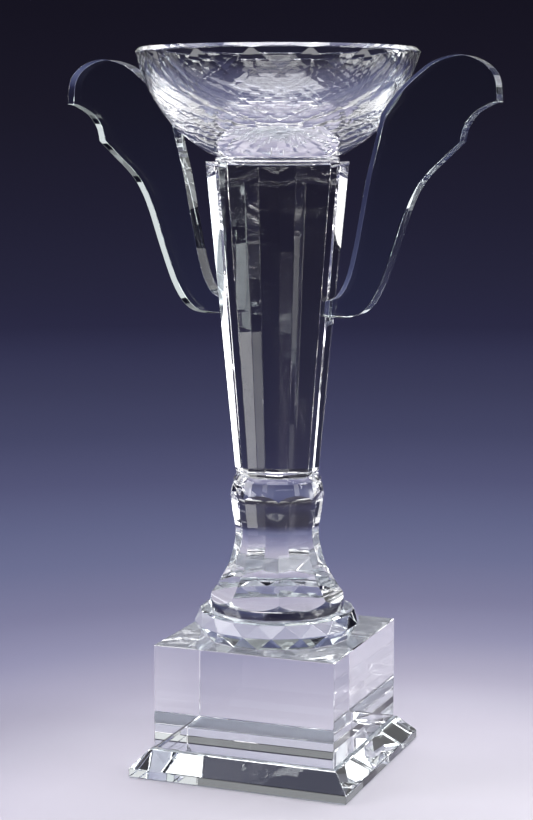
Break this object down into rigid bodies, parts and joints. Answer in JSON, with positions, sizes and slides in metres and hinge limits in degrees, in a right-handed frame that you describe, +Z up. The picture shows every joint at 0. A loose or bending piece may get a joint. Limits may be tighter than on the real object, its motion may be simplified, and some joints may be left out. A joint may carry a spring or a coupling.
{
  "type": "crystal cup trophy",
  "caption": "Clear crystal cup trophy: faceted bowl with two flat wing handles on a tapered octagonal column, fluted pedestal, cut foot disc and square bevelled base.",
  "frame": {"origin": "centre of the flat underside of the base plate", "axes": "+Z up along the tower's axis, +X along the two handles towards the right one, -Y towards the front"},
  "size_m": [0.236, 0.1456, 0.3775],
  "materials": {
    "clear_crystal": "polished colourless optical crystal",
    "tinted_crystal": "polished plate crystal, faintly green-blue through its thickness",
    "clear_glue": "cured clear ultraviolet glue film"
  },
  "bodies": {
    "root": {"base_plate": "tinted_crystal", "plate_glue": "clear_glue", "base_block": "clear_crystal", "foot_glue": "clear_glue", "foot_disc": "tinted_crystal", "pedestal_glue": "clear_glue", "pedestal": "clear_crystal", "column_glue": "clear_glue", "column": "clear_crystal", "disc_glue": "clear_glue", "bowl_disc": "clear_crystal", "bowl_glue": "clear_glue", "bowl": "clear_crystal", "handle_right": "tinted_crystal", "handle_foot_glue_right": "clear_glue", "handle_seat_glue_right": "clear_glue", "handle_left": "tinted_crystal", "handle_foot_glue_left": "clear_glue", "handle_seat_glue_left": "clear_glue"}
  },
  "joints": []
}
